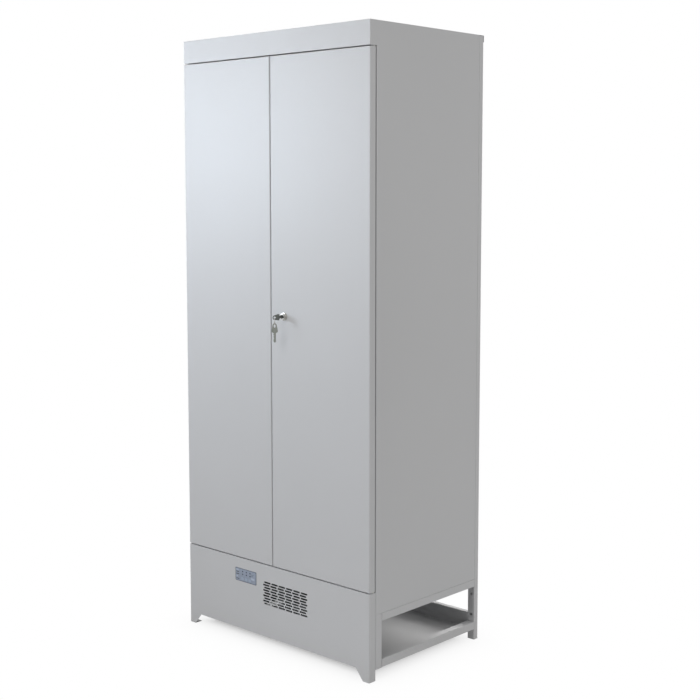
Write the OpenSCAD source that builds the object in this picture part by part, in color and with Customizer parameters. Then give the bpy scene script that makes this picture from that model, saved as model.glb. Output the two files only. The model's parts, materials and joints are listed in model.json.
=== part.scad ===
// Two-door drying cabinet for clothes and boots, free-standing, folded from sheet steel.
// X runs to the right, Y to the rear and Z up. The floor is z = 0.
// The origin is the middle of the overall box, which takes in the key and the roof's rear lip.

/* [Cabinet] */
// Overall width
cab_w = 800; // [620:10:1000]
// Depth from the door faces to the back
cab_d = 520; // [430:10:660]
// Height of the roof above the floor
cab_h = 1900; // [1560:10:2300]
// Height of the fascia above the doors
header_h = 70; // [50:1:120]
// Height of the plinth's top edge above the floor
plinth_top = 265; // [258:1:330]
// Height of the gap between the plinth's feet
foot_h = 35; // [26:1:60]

/* [Sheet metal] */
// Thickness of the casing sheets
sheet_t = 1.2; // [0.8:0.1:2]
// Thickness of the base frame's profiles
post_t = 1.5; // [1:0.1:3]
// Inner radius of the folds
bend_r = 1.5; // [0.8:0.1:3]
// Overhang of the roof behind the back
roof_lip = 1.5; // [1.3:0.1:4]
// Height of the roof's rear lip
roof_lip_h = 20; // [10:1:40]
// Width of the folded front edge of each side panel
jamb_w = 30; // [20:1:45]

/* [Doors] */
// Thickness of the door pans
door_t = 25; // [22:0.5:35]
// Gap above, below and between the doors
door_gap = 3; // [2:0.1:5]
// Gap between the doors and the casing behind them
carcass_gap = 3; // [2.8:0.1:5]
// Place where the doors meet, from the middle of the cabinet
door_split = -4; // [-40:1:40]
// Width of the folded edge round the back of each door
door_lip = 15; // [10:1:25]
// Distance of the hinge axis from the side of the cabinet
hinge_inset = 6; // [5.8:0.1:9]
// Radius of the hinge pins
pin_r = 3; // [2:0.1:3.2]
// Outer radius of the hinge bushes
bush_r = 4.5; // [4:0.1:4.6]
// Clearance between turning or sliding round parts and their bores
run_gap = 0.06; // [0.03:0.01:0.1]

/* [Lock and keys] */
// Distance of the lock from the right door's free edge
lock_in = 57; // [40:1:90]
// Height of the lock above the floor
lock_z = 1050; // [800:10:1250]
// Radius of the lock's bezel
bezel_r = 12; // [10:0.5:16]
// Length of the lock's head in front of the door
lock_head = 11; // [5:0.5:16]
// Length of the key that stands out of the lock
key_out = 38; // [32:0.5:46]
// Length of a whole key
key_len = 58; // [50:1:70]
// Thickness of the keys
key_t = 1.8; // [1.5:0.1:2.1]
// Radius of the split ring's middle line
ring_r = 10; // [8:0.5:14]
// Radius of the split ring's wire
ring_wire = 0.7; // [0.5:0.05:1]
// Reach of the lock's cam from the lock's axis
cam_reach = 66; // [60:1:80]

/* [Door bolts] */
// Radius of the two bolts on the left door
bolt_r = 4; // [3:0.1:5]
// Travel of a bolt
bolt_travel = 16; // [12:1:20]
// Distance of the bolts from the left door's free edge
bolt_in = 54; // [24:1:60]

/* [Plinth] */
// Number of slot rows
grille_rows = 9; // [3:1:12]
// Slots in a row
grille_cols = 6; // [2:1:8]
// Length of a slot
slot_l = 29; // [16:0.5:30]
// Height of a slot
slot_h = 5.6; // [2.5:0.1:6]
// Distance between slots along a row
slot_pitch_x = 32.2; // [31:0.1:40]
// Distance between rows
slot_pitch_z = 8.5; // [7:0.1:10]
// Middle of the grille from the cabinet's left side
grille_in = 450; // [420:1:480]
// Height of the grille's middle above the floor
grille_z = 175.4; // [165:0.1:190]
// Width of a foot at the floor
foot_w = 25; // [20:1:40]
// Width of a foot where it meets the plinth
foot_top_w = 54; // [40:1:80]

/* [Base frame] */
// Height of the upper edge of the open side windows
window_top = 173; // [150:1:185]
// Height of the side rails above and below the windows
rail_h = 25; // [18:1:30]
// Height of the lower rails' underside above the floor
rail_z = 33; // [20:1:60]
// Width of the legs behind the plinth, front to back
leg_w = 28; // [24:1:40]
// Depth of the rear corner posts, front to back
rear_post_d = 20; // [16:1:30]
// Width of the flanges of the posts and rails
flange_w = 25; // [18:1:32]
// Radius of the fixing holes in the rear posts
post_hole_r = 4.5; // [2.5:0.05:5]
// Heights of the fixing holes in the rear posts
post_hole_z = [81, 148];
// Height of the rear rail's top above the floor
rear_rail_top = 84; // [60:1:110]

/* [Control panel] */
// Width of the control panel
pad_w = 96.5; // [90:0.5:120]
// Height of the control panel
pad_h = 42; // [40:0.5:60]
// Middle of the control panel from the cabinet's left side
pad_in = 273.7; // [240:0.1:290]
// Height of the control panel's middle above the floor
pad_z = 211.2; // [205:0.1:225]
// Thickness of the control panel's overlay
pad_t = 0.8; // [0.5:0.1:1.2]
// Width and height of a key on the control panel
button = [12, 9];
// Distance between the keys
button_pitch = 17; // [15:0.5:22]
// Travel of a key
button_travel = 0.5; // [0.3:0.1:1]

/* [Fan and heater] */
// Width of the fan's square frame
fan_size = 119; // [92:1:119]
// Thickness of the fan
fan_t = 38; // [25:1:38]
// Number of fan blades
fan_blades = 7; // [3:1:9]
// Height of the fan bracket's ledge above the floor
ledge_z = 137.2; // [130:0.1:138]
// Radius of the heating tubes
tube_r = 4; // [3:0.5:5]
// Number of fins on each heating tube
fin_count = 12; // [4:1:24]

/* [Inside] */
// Height of the hat shelf's top
shelf_z = 1620; // [1300:10:1700]
// Height of the hanging rail's middle
hang_z = 1540; // [1200:10:1600]
// Radius of the hanging rail
hang_r = 12.5; // [8:0.5:16]
// Height of the boot rack's bearers above the floor
rack_z = 480; // [400:10:600]
// Number of rods in the boot rack
rack_rods = 13; // [7:1:17]
// Number of coat hooks
hook_count = 5; // [2:1:8]
// Outer radius of the exhaust collar, a loose fit in a 100 mm duct
collar_r = 49.5; // [40:0.5:62]
// Height of the exhaust collar above the roof
collar_h = 18; // [12:1:25]

/* [Hidden] */
$fn = 48;
bend_steps = 4;
seam = 0.4;
rest_gap = 0.2;
bite = 0.1;
half_w = cab_w / 2;
inner_w = half_w - sheet_t;
key_reach = lock_head + key_out;
front_y = (key_reach - cab_d - roof_lip) / 2;
rear_y = front_y + cab_d;
door_back_y = front_y + door_t;
carcass_y = door_back_y + carcass_gap;
post_y = rear_y - rear_post_d;
back_y = rear_y - post_t - sheet_t;
roof_z = cab_h - sheet_t;
fascia_z = cab_h - header_h;
door_z0 = plinth_top + door_gap;
door_z1 = fascia_z - door_gap;
panel_z = window_top + rail_h + seam;
outer_r = bend_r + sheet_t;
lip_y = carcass_y - 1.2;
lip_h = 12;
plinth_lip_h = 6;
back_z = window_top;
back_half = half_w - post_t - bend_r - 0.6;
post_top = roof_z - 0.8;
leg_y1 = carcass_y + leg_w;
rear_flange_w = flange_w + 13;
floor_z = plinth_top - 3;
floor_under = floor_z - sheet_t;
floor_y1 = back_y - rest_gap;

// Doors and hinges
liner_t = 1;
liner_in = 9;
field_t = 1.2;
liner_y1 = door_back_y + liner_t;
field_y1 = liner_y1 + field_t;
hinge_x = half_w - hinge_inset;
hinge_y = door_back_y - 6;
pin_head_r = 4.4;
pin_head_t = 3;
pin_reach = 15;
bush_l = 8;
bush_flange_r = 5.5;
left_free_x = door_split - door_gap / 2;
right_free_x = door_split + door_gap / 2;

// Lock
lock_x = right_free_x + lock_in;
barrel_r = 9;
core_r = 6;
key_y = front_y - key_reach;
bow_l = 26;
key_slot = [3.5, 13, 5.8];
eye_y = key_y + 8;
eye_z = lock_z - key_slot[2] / 2 + ring_wire + 0.4;
ring_z = eye_z - ring_r;
link_z = ring_z - ring_r;
hang_gap = 0.3;
ring_turn = -45;
keyway = [key_t + 0.3, 24, 8];
cam_t = 2;
cam_y = field_y1 + 0.8;
cam_w = 14;
tang = 6;

// Bolts on the left door
bolt_x = left_free_x - bolt_in;
bolt_y = lip_y + bolt_r + 0.7;
bolt_notch = bolt_r + 3;
bolt_l = 120;
bolt_rest = 2;
knob_drop = 70;
guide_h = 10;

// Plinth, fan and heater
grille_x = grille_in - half_w;
pad_x = pad_in - half_w;
pan_z = rail_z + post_t + seam;
pan_top = pan_z + sheet_t;
pan_y0 = front_y + sheet_t + bite;
pan_y1 = post_y - seam;
pan_lip = 12;
fan_x = grille_x;
fan_z = ledge_z + bite + fan_size / 2;
fan_y0 = front_y + 62;
fan_y1 = fan_y0 + fan_t;
throat_r = fan_size / 2 - 3.5;
hub_r = 20;
ledge_left = fan_x - 60;
ledge_right = fan_x + 108;
ledge_y1 = fan_y1 + 12;
duct_half = fan_size / 2 + 2;
housing_half = fan_size / 2 + 8;
housing_z = ledge_z + 0.8;
housing_top = floor_under - rest_gap;
housing_y0 = fan_y1 + 0.3;
housing_y1 = rear_y - 120;
outlet_half = 55;
outlet_y0 = housing_y0 + 70;
outlet_y1 = housing_y1 - 20;
hat_half = 76;
hat_h = 45;
hat_y0 = outlet_y0 - 14;
hat_y1 = outlet_y1 + 14;
hat_flange = 18;
element_y0 = housing_y0 + 50;
element_x = 30;
element_z = [housing_z + 32, housing_z + 80];
terminal_l = 12;

// Control box behind the plinth
box_half = pad_w / 2 + 12;
box_z0 = pad_z - 62;
box_z1 = floor_under - 8;
box_y0 = front_y + sheet_t + bite;
box_y1 = front_y + 60;
board_y = front_y + 8;
board_t = 1.6;
button_x = pad_x + 2.7;
button_z = pad_z - 11;
lamp_z = [pad_z + 2.6, pad_z + 11.8];
lamp_r = 2.4;
gland_r = 9;
gland_bore_r = 4.5;
gland_x = pad_x - 34;
gland_z = box_z0 + 16;

// Inside fittings
shelf_y0 = carcass_y + 30;
shelf_y1 = post_y - 10;
shelf_half = inner_w - 1;
mid_y = (carcass_y + post_y) / 2;
bracket_w = 20;
rod_r = 4;
bar_t = 3;
bar_w = 20;
strip_z = hang_z - 60;
strip_half = half_w - 60;
strip_t = 2;
strip_h = 30;
hook_wire = 3;
hook_out = 32;
hook_bend = 10;
collar_t = 1.2;
collar_flange_r = collar_r + 20;
exhaust_y = mid_y;
bead_count = 3;
bead_h = 24;
bead_d = 2;
bead_in = 60;
anchor_half = half_w - 100;
anchor_z = cab_h - 60;
anchor_r = 4.5;

// ---- Colours

module paint() {
    color([0.83, 0.85, 0.87]) children();
}

module bare_zinc() {
    color([0.72, 0.74, 0.76]) children();
}

module dark_plastic() {
    color([0.12, 0.12, 0.13]) children();
}

module pale_plastic() {
    color([0.9, 0.9, 0.88]) children();
}

module chrome() {
    color([0.78, 0.78, 0.8]) children();
}

// ---- Placing

module along_x(x0, x1) {
    translate([x0, 0, 0])
        rotate([90, 0, 90])
            linear_extrude(x1 - x0) children();
}

module along_y(y0, y1) {
    translate([0, y1, 0])
        rotate([90, 0, 0])
            linear_extrude(y1 - y0) children();
}

module along_z(z0, z1) {
    translate([0, 0, z0])
        linear_extrude(z1 - z0) children();
}

module block(low, high) {
    translate(low) cube(high - low);
}

module rod_x(r, x0, x1) {
    along_x(x0, x1) circle(r);
}

module rod_y(r, y0, y1) {
    along_y(y0, y1) circle(r);
}

module rod_z(r, z0, z1) {
    along_z(z0, z1) circle(r);
}

module left_hand() {
    mirror([1, 0, 0]) children();
}

module both_hands() {
    children();
    left_hand() children();
}

// ---- Folded sheet: a path of square corners, each turned on the bend radius

function heading(a, b) = (b - a) / norm(b - a);
function left_of(d) = [-d[1], d[0]];
function joined(lists) = [for (l = lists) each l];

// Middle line of the sheet whose face follows the path; side is 1 when the sheet lies to its left
function middle_line(path, t, side) = [
    for (i = [0 : len(path) - 1])
        let (
            before = i > 0 ? left_of(heading(path[i - 1], path[i])) : [0, 0],
            after = i < len(path) - 1 ? left_of(heading(path[i], path[i + 1])) : [0, 0]
        )
        path[i] + (before + after) * side * t / 2
];

// Points of the middle line with the direction of travel at each
function bent_run(mid, r) = joined([
    for (i = [0 : len(mid) - 1])
        i == 0 ? [[mid[0], heading(mid[0], mid[1])]]
        : i == len(mid) - 1 ? [[mid[i], heading(mid[i - 1], mid[i])]]
        : let (
            back = heading(mid[i], mid[i - 1]),
            on = heading(mid[i], mid[i + 1]),
            centre = mid[i] + (back + on) * r
        )
        [
            for (k = [0 : bend_steps])
                let (a = 90 * k / bend_steps)
                [centre - r * (on * cos(a) + back * sin(a)), on * sin(a) - back * cos(a)]
        ]
]);

function fold_outline(path, t, side) =
    let (run = bent_run(middle_line(path, t, side), bend_r + t / 2))
    concat(
        [for (p = run) p[0] + left_of(p[1]) * t / 2],
        [for (i = [len(run) - 1 : -1 : 0]) run[i][0] - left_of(run[i][1]) * t / 2]
    );

module fold(path, t = sheet_t, side = 1) {
    polygon(fold_outline(path, t, side));
}

// Rectangle with rounded corners, from its low to its high corner
function round_rect(low, high, r) = [
    for (q = [0 : 3], k = [0 : bend_steps])
        let (
            a = 90 * q + 90 * k / bend_steps,
            cx = (q == 0 || q == 3) ? high[0] - r : low[0] + r,
            cy = q < 2 ? high[1] - r : low[1] + r
        )
        [cx + r * cos(a), cy + r * sin(a)]
];

// Slot with round ends, longer along its first axis
module slot_shape(length, height) {
    square([length - height, height], center = true);
    for (s = [-1, 1])
        translate([s * (length - height) / 2, 0]) circle(height / 2, $fn = 16);
}

// ---- Casing

module side_panel() {
    paint() {
        along_z(panel_z, fascia_z)
            fold([
                [half_w - jamb_w, carcass_y + 14],
                [half_w - jamb_w, carcass_y],
                [half_w, carcass_y],
                [half_w, post_y - seam]
            ]);
        block([inner_w, carcass_y, fascia_z - bite], [half_w, post_y - seam, roof_z]);
        block([half_w - 16, carcass_y, roof_z - sheet_t], [half_w, post_y - seam, roof_z]);
    }
}

module roof_panel() {
    paint()
        difference() {
            along_x(-half_w, half_w)
                fold([
                    [front_y, cab_h],
                    [rear_y + roof_lip, cab_h],
                    [rear_y + roof_lip, cab_h - roof_lip_h]
                ], side = -1);
            translate([0, exhaust_y, 0])
                rod_z(collar_r - collar_t, roof_z - 1, cab_h + 1);
        }
}

module header_panel() {
    paint()
        difference() {
            union() {
                along_z(fascia_z, roof_z)
                    fold([
                        [-half_w, carcass_y],
                        [-half_w, front_y],
                        [half_w, front_y],
                        [half_w, carcass_y]
                    ]);
                along_x(-inner_w - bite, inner_w + bite)
                    fold([
                        [front_y + bite, fascia_z],
                        [lip_y, fascia_z],
                        [lip_y, fascia_z + lip_h]
                    ]);
            }
            both_hands()
                translate([hinge_x, hinge_y, 0])
                    rod_z(pin_r + run_gap, fascia_z - 1, fascia_z + sheet_t + 1);
        }
}

// Front view of the pressed stiffening beads across the back panel
module back_beads(height) {
    for (i = [1 : bead_count])
        translate([0, rack_z + i * (strip_z - rack_z) / (bead_count + 1)])
            slot_shape(2 * (back_half - bead_in), height);
}

module back_panel() {
    paint()
        difference() {
            union() {
                block([-back_half, back_y, back_z], [back_half, back_y + sheet_t, roof_z]);
                along_y(back_y - bead_d, back_y + bite) back_beads(bead_h);
            }
            along_y(back_y + sheet_t - bead_d, back_y + sheet_t + 1)
                back_beads(bead_h - 2 * sheet_t);
            for (s = [-1, 1])
                translate([s * anchor_half, 0, anchor_z])
                    rod_y(anchor_r, back_y - 1, back_y + sheet_t + 1);
        }
}

// Front view of the gap between the feet, with slanted inner edges
module foot_gap() {
    polygon([
        [-half_w + foot_w, -1],
        [half_w - foot_w, -1],
        [half_w - foot_w, 0],
        [half_w - foot_top_w, foot_h],
        [-half_w + foot_top_w, foot_h],
        [-half_w + foot_w, 0]
    ]);
}

module grille_slots() {
    for (row = [0 : grille_rows - 1], col = [0 : grille_cols - 1])
        let (shift = (row % 2 == 0 ? 2.5 : -2.5))
        translate([
            grille_x + shift + (col - (grille_cols - 1) / 2) * slot_pitch_x,
            grille_z + ((grille_rows - 1) / 2 - row) * slot_pitch_z
        ])
            slot_shape(slot_l, slot_h);
}

module plinth_panel() {
    paint() {
        difference() {
            union() {
                along_z(0, plinth_top)
                    fold([
                        [-half_w, lip_y],
                        [-half_w, front_y],
                        [half_w, front_y],
                        [half_w, lip_y]
                    ]);
                along_x(-inner_w - bite, inner_w + bite)
                    fold([
                        [front_y + bite, plinth_top],
                        [lip_y, plinth_top],
                        [lip_y, plinth_top - plinth_lip_h]
                    ], side = -1);
            }
            along_y(front_y - 1, front_y + outer_r + 1) foot_gap();
            along_y(front_y - 1, front_y + sheet_t + 1) {
                grille_slots();
                translate([pad_x, pad_z]) square([pad_w - 16, pad_h - 8], center = true);
            }
            both_hands()
                translate([hinge_x, hinge_y, 0])
                    rod_z(pin_r + run_gap, plinth_top - sheet_t - 1, plinth_top + 1);
        }
        both_hands()
            block([half_w - foot_w, front_y, 0], [half_w - bite, lip_y, post_t]);
    }
}

// ---- Base frame

module front_leg() {
    paint()
        along_z(rail_z, panel_z - seam)
            fold([
                [half_w - flange_w, carcass_y],
                [half_w, carcass_y],
                [half_w, leg_y1],
                [half_w - flange_w, leg_y1]
            ], post_t);
}

module rear_post() {
    paint() {
        difference() {
            along_z(0, post_top)
                fold([
                    [half_w - flange_w, post_y],
                    [half_w, post_y],
                    [half_w, rear_y],
                    [half_w - flange_w, rear_y]
                ], post_t);
            for (z = post_hole_z)
                translate([half_w - flange_w / 2, 0, z])
                    rod_y(post_hole_r, post_y - 1, post_y + post_t + 1);
        }
        block([half_w - flange_w, post_y + bite, 0], [half_w - bite, rear_y - bite, post_t]);
        block([half_w - rear_flange_w, rear_y - post_t, rear_rail_top + seam],
              [half_w - flange_w + 1, rear_y, post_top]);
    }
}

// Side rail of C section, open towards the middle
module side_rail(z0) {
    paint()
        along_y(leg_y1 + seam, post_y - seam)
            fold([
                [half_w - flange_w, z0],
                [half_w, z0],
                [half_w, z0 + rail_h],
                [half_w - flange_w, z0 + rail_h]
            ], post_t);
}

module rear_lower_rail() {
    paint()
        along_x(-half_w + flange_w + seam, half_w - flange_w - seam)
            fold([
                [post_y, rail_z],
                [post_y, rear_rail_top],
                [rear_y, rear_rail_top],
                [rear_y, rail_z]
            ], post_t, -1);
}

module bottom_pan() {
    paint()
        difference() {
            along_x(-inner_w + 2, inner_w - 2)
                fold([
                    [pan_y0, pan_top + 24],
                    [pan_y0, pan_z],
                    [pan_y1, pan_z],
                    [pan_y1, pan_top + pan_lip]
                ]);
            both_hands()
                block([half_w - flange_w - seam, carcass_y - seam, pan_z - 1],
                      [half_w, leg_y1 + seam, pan_top + 1]);
        }
}

// ---- Chamber floor and warm air

module chamber_floor() {
    paint()
        difference() {
            along_y(carcass_y + rest_gap, floor_y1)
                fold([
                    [-inner_w + 0.3, floor_z - 22],
                    [-inner_w + 0.3, floor_z],
                    [inner_w - 0.3, floor_z],
                    [inner_w - 0.3, floor_z - 22]
                ], side = -1);
            both_hands() {
                block([half_w - jamb_w - 0.5, carcass_y - 1, floor_z - 30],
                      [half_w, carcass_y + 14.5, floor_z + 1]);
                block([half_w - flange_w - 0.5, post_y - 0.5, floor_z - 30],
                      [half_w, rear_y, floor_z + 1]);
            }
            block([fan_x - outlet_half, outlet_y0, floor_under - 1],
                  [fan_x + outlet_half, outlet_y1, floor_z + 1]);
            block([bolt_x - bolt_notch, carcass_y - 1, floor_under - 1],
                  [bolt_x + bolt_notch, bolt_y + bolt_notch, floor_z + 1]);
        }
}

// Row of upright slots along a wall, seen square on
module wall_slots(from, to) {
    count = floor((to - from) / 22);
    for (i = [0 : count - 1])
        translate([from + (i + 0.5) * (to - from) / count, floor_z + hat_h / 2 + 1])
            rotate(90) slot_shape(26, 8);
}

module warm_air_diffuser() {
    top = floor_z + hat_h;
    paint()
        difference() {
            union() {
                along_y(hat_y0, hat_y1)
                    fold([
                        [fan_x - hat_half - hat_flange, floor_z + sheet_t],
                        [fan_x - hat_half, floor_z + sheet_t],
                        [fan_x - hat_half, top],
                        [fan_x + hat_half, top],
                        [fan_x + hat_half, floor_z + sheet_t],
                        [fan_x + hat_half + hat_flange, floor_z + sheet_t]
                    ], side = -1);
                for (y = [hat_y0, hat_y1 - sheet_t])
                    block([fan_x - hat_half + bite, y, floor_z],
                          [fan_x + hat_half - bite, y + sheet_t, top - sheet_t / 2]);
            }
            along_x(fan_x - hat_half - 1, fan_x + hat_half + 1)
                wall_slots(hat_y0 + 12, hat_y1 - 12);
            along_y(hat_y0 - 1, hat_y1 + 1)
                wall_slots(fan_x - hat_half + 12, fan_x + hat_half - 12);
        }
}

module heater_housing() {
    bare_zinc()
        difference() {
            union() {
                block([fan_x - housing_half, housing_y0, housing_z],
                      [fan_x + housing_half, housing_y1, housing_top]);
                block([fan_x - housing_half - 14, housing_y0, housing_top - sheet_t],
                      [fan_x + housing_half + 14, housing_y1 + 14, housing_top]);
            }
            block([fan_x - housing_half + sheet_t, housing_y0 + sheet_t, housing_z + sheet_t],
                  [fan_x + housing_half - sheet_t, housing_y1 - sheet_t, housing_top + 1]);
            translate([fan_x, 0, fan_z])
                rod_y(throat_r, housing_y0 - 1, housing_y0 + sheet_t + 1);
            for (z = element_z, s = [-1, 1])
                translate([fan_x + s * element_x, 0, z])
                    rod_y(tube_r + bite, housing_y1 - sheet_t - 1, housing_y1 + 1);
        }
}

// Hairpin tubes with fins, their ends through the housing's rear wall
module heating_element() {
    leg_y0 = element_y0 + element_x;
    leg_y1 = housing_y1 + terminal_l;
    fin_y1 = housing_y1 - 20;
    color([0.45, 0.42, 0.4])
        for (z = element_z) {
            translate([fan_x, leg_y0, z])
                rotate([0, 0, 180])
                    rotate_extrude(angle = 180, $fn = 48)
                        translate([element_x, 0]) circle(tube_r, $fn = 20);
            for (s = [-1, 1])
                translate([fan_x + s * element_x, 0, z]) {
                    rod_y(tube_r, leg_y0, leg_y1, $fn = 20);
                    for (i = [0 : fin_count - 1])
                        let (y = leg_y0 + 8 + i * (fin_y1 - leg_y0 - 8) / (fin_count - 1))
                        rod_y(tube_r + 7, y, y + 1, $fn = 24);
                }
        }
}

module thermal_cutout() {
    x = fan_x + housing_half;
    translate([0, outlet_y0, fan_z]) {
        dark_plastic() rod_x(8, x + 1.5, x + 12, $fn = 24);
        bare_zinc() block([x, -6, -13], [x + 1.5, 6, 13]);
    }
}

module fan_bracket() {
    bare_zinc()
        along_x(ledge_left, ledge_right)
            fold([
                [front_y + 6, ledge_z],
                [ledge_y1, ledge_z],
                [ledge_y1, pan_top + sheet_t + bite],
                [ledge_y1 + 28, pan_top + sheet_t + bite]
            ], side = -1);
}

module intake_duct() {
    top = fan_z + fan_size / 2 + 1.8;
    dark_plastic() {
        along_y(front_y + sheet_t + bite, fan_y0 + 6)
            fold([
                [fan_x - duct_half - 40, grille_z - 42],
                [fan_x - duct_half - 40, top],
                [fan_x + duct_half + 40, top],
                [fan_x + duct_half + 40, ledge_z + bite]
            ], side = -1);
        difference() {
            block([fan_x - duct_half - 40 + bite, fan_y0 - 1.5, ledge_z + bite],
                  [fan_x + duct_half + 40 - bite, fan_y0 - 0.3, top - bite]);
            translate([fan_x, 0, fan_z]) rod_y(throat_r, fan_y0 - 3, fan_y0 + 1);
        }
    }
}

// ---- Fan

module fan_frame() {
    half = fan_size / 2;
    ear = half - 7;
    dark_plastic()
        translate([fan_x, 0, fan_z])
            difference() {
                along_y(fan_y0, fan_y1)
                    polygon(round_rect([-half, -half], [half, half], 5));
                rod_y(throat_r, fan_y0 - 1, fan_y1 - 3);
                rod_y(hub_r + 14, fan_y1 - 4, fan_y1 + 1);
                for (a = [0 : 90 : 270])
                    rotate([0, a, 0])
                        intersection() {
                            translate([ear, 0, ear]) rod_y(2.2, fan_y0 - 1, fan_y1 + 1);
                            block([0, fan_y0 - 1, 0], [half, fan_y1 + 1, half]);
                        }
                difference() {
                    rod_y(throat_r, fan_y1 - 4, fan_y1 + 1);
                    rod_y(hub_r + 15, fan_y1 - 5, fan_y1 + 2);
                    for (a = [45 : 90 : 315])
                        rotate([0, a, 0])
                            block([0, fan_y1 - 5, -3], [half, fan_y1 + 2, 3]);
                }
            }
}

// Motor can in the frame's rear ring, with its shaft towards the plinth
module fan_motor() {
    dark_plastic()
        translate([fan_x, 0, fan_z]) {
            difference() {
                union() {
                    rod_y(hub_r + 14 - bite, fan_y1 - 3, fan_y1);
                    rod_y(hub_r - 3, fan_y1 - 14, fan_y1 - 2);
                }
                for (a = [0 : 60 : 300])
                    rotate([0, a, 0])
                        translate([hub_r + 5, 0, 0]) rod_y(5, fan_y1 - 4, fan_y1 + 1, $fn = 24);
            }
            rod_y(2, fan_y0 + 6, fan_y1 - 10, $fn = 24);
        }
}

module fan_impeller() {
    y0 = fan_y0 + 4;
    y1 = fan_y1 - 6;
    dark_plastic()
        translate([fan_x, 0, fan_z])
            difference() {
                union() {
                    rod_y(hub_r, y0, y1 - 2);
                    intersection() {
                        for (i = [0 : fan_blades - 1])
                            rotate([0, 360 / fan_blades * i, 0])
                                translate([hub_r - 2, (y0 + y1) / 2, 0])
                                    rotate([38, 0, 0])
                                        block([0, -16, -1], [throat_r, 16, 1]);
                        difference() {
                            rod_y(throat_r - 1.5, y0, y1 - 3);
                            rod_y(hub_r - 1, y0 - 1, y1);
                        }
                    }
                }
                rod_y(2 + run_gap, y0 + 1, y1, $fn = 24);
                rod_y(hub_r - 2, fan_y1 - 15, y1);
            }
}

// ---- Controls

module control_box() {
    wall = 1.5;
    bare_zinc()
        difference() {
            block([pad_x - box_half, box_y0, box_z0], [pad_x + box_half, box_y1, box_z1]);
            block([pad_x - box_half + wall, box_y0 - 1, box_z0 + wall],
                  [pad_x + box_half - wall, box_y1 - wall, box_z1 - wall]);
            translate([gland_x, 0, gland_z]) rod_y(gland_r - 1, box_y1 - wall - 1, box_y1 + 1);
        }
}

module control_board() {
    spread = [pad_w / 2 - 4, pad_h / 2 - 2];
    color([0.1, 0.35, 0.2])
        translate([pad_x, 0, pad_z]) {
            block([-pad_w / 2, board_y, -40], [pad_w / 2, board_y + board_t, pad_h / 2 + 1]);
            for (i = [-1, 1], k = [-1, 1])
                translate([i * spread[0], 0, k * spread[1]])
                    rod_y(2.4, front_y + sheet_t, board_y + bite, $fn = 20);
        }
    dark_plastic()
        translate([pad_x, board_y + board_t - bite, pad_z]) {
            block([-40, 0, -34], [-10, 24, -14]);
            block([0, 0, -34], [18, 16, -16]);
            translate([32, 0, -24]) rod_y(7, 0, 26, $fn = 24);
        }
}

module button_holes(grow) {
    for (i = [-1 : 1])
        translate([button_x + i * button_pitch, button_z])
            polygon(round_rect(-button / 2 - [grow, grow], button / 2 + [grow, grow], 1.5 + grow));
}

module control_panel() {
    color([0.62, 0.67, 0.75])
        along_y(front_y - pad_t, front_y)
            difference() {
                translate([pad_x, pad_z])
                    polygon(round_rect([-pad_w / 2, -pad_h / 2], [pad_w / 2, pad_h / 2], 2.5));
                button_holes(0.3);
                lamp_dots(lamp_r + 0.1);
            }
}

module lamp_dots(r) {
    for (i = [-1 : 1], z = lamp_z)
        translate([button_x + i * button_pitch, z]) circle(r, $fn = 20);
}

module status_lamps() {
    color([0.2, 0.24, 0.32]) {
        along_y(front_y - pad_t - 0.3, board_y) lamp_dots(lamp_r);
    }
}

// Sprung key: a cap through the overlay, a flange behind it and a stem to the board
module panel_key(i) {
    color([0.72, 0.78, 0.85])
        translate([button_x + i * button_pitch, 0, button_z]) {
            along_y(front_y - pad_t - 0.6, front_y + 2.5)
                polygon(round_rect(-button / 2, button / 2, 1.5));
            along_y(front_y + 0.3, front_y + 1.3)
                polygon(round_rect(-button / 2 - [1, 1], button / 2 + [1, 1], 1.5));
            rod_y(1.5, front_y + 2, board_y - button_travel - 0.2, $fn = 16);
        }
}

module cable_gland() {
    dark_plastic()
        translate([gland_x, 0, gland_z])
            difference() {
                union() {
                    along_y(box_y1 - 6, box_y1 - 1.5 - bite) circle(gland_r + 3, $fn = 6);
                    rod_y(gland_r - 1 - bite, box_y1 - 8, box_y1 + 6);
                    along_y(box_y1 + bite, box_y1 + 5) circle(gland_r + 3, $fn = 6);
                    rod_y(gland_r, box_y1 + 4, box_y1 + 20);
                }
                rod_y(gland_bore_r, box_y1 - 9, box_y1 + 21);
            }
}

// ---- Fittings in the chamber

module side_bracket(z) {
    bare_zinc()
        along_y(shelf_y0 + 4, shelf_y1 - 4)
            fold([
                [inner_w - bracket_w, z],
                [inner_w, z],
                [inner_w, z - bracket_w]
            ], side = -1);
}

module hat_shelf() {
    cols = 9;
    paint()
        difference() {
            along_x(-shelf_half, shelf_half)
                fold([
                    [shelf_y0, shelf_z - 25],
                    [shelf_y0, shelf_z],
                    [shelf_y1, shelf_z],
                    [shelf_y1, shelf_z - 15]
                ], side = -1);
            along_z(shelf_z - 2, shelf_z + 1)
                for (i = [0 : cols - 1], k = [-1 : 1])
                    translate([
                        (i - (cols - 1) / 2) * 2 * shelf_half / (cols + 0.5),
                        mid_y + k * cab_d / 5
                    ])
                        slot_shape(60, 12);
        }
}

module hanging_rail() {
    chrome()
        translate([0, mid_y, hang_z])
            difference() {
                rod_x(hang_r, -inner_w + 1, inner_w - 1);
                rod_x(hang_r - 1.5, -inner_w, inner_w);
            }
}

module rail_sockets() {
    chrome()
        both_hands()
            translate([0, mid_y, hang_z])
                difference() {
                    union() {
                        rod_x(hang_r + 2.5, inner_w - 16, inner_w);
                        rod_x(hang_r + 10, inner_w - 2.5, inner_w);
                    }
                    rod_x(hang_r + 0.1, inner_w - 17, inner_w - 0.8);
                }
}

module hook_strip() {
    bare_zinc()
        block([-strip_half, back_y - strip_t, strip_z - strip_h / 2],
              [strip_half, back_y, strip_z + strip_h / 2]);
}

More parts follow.
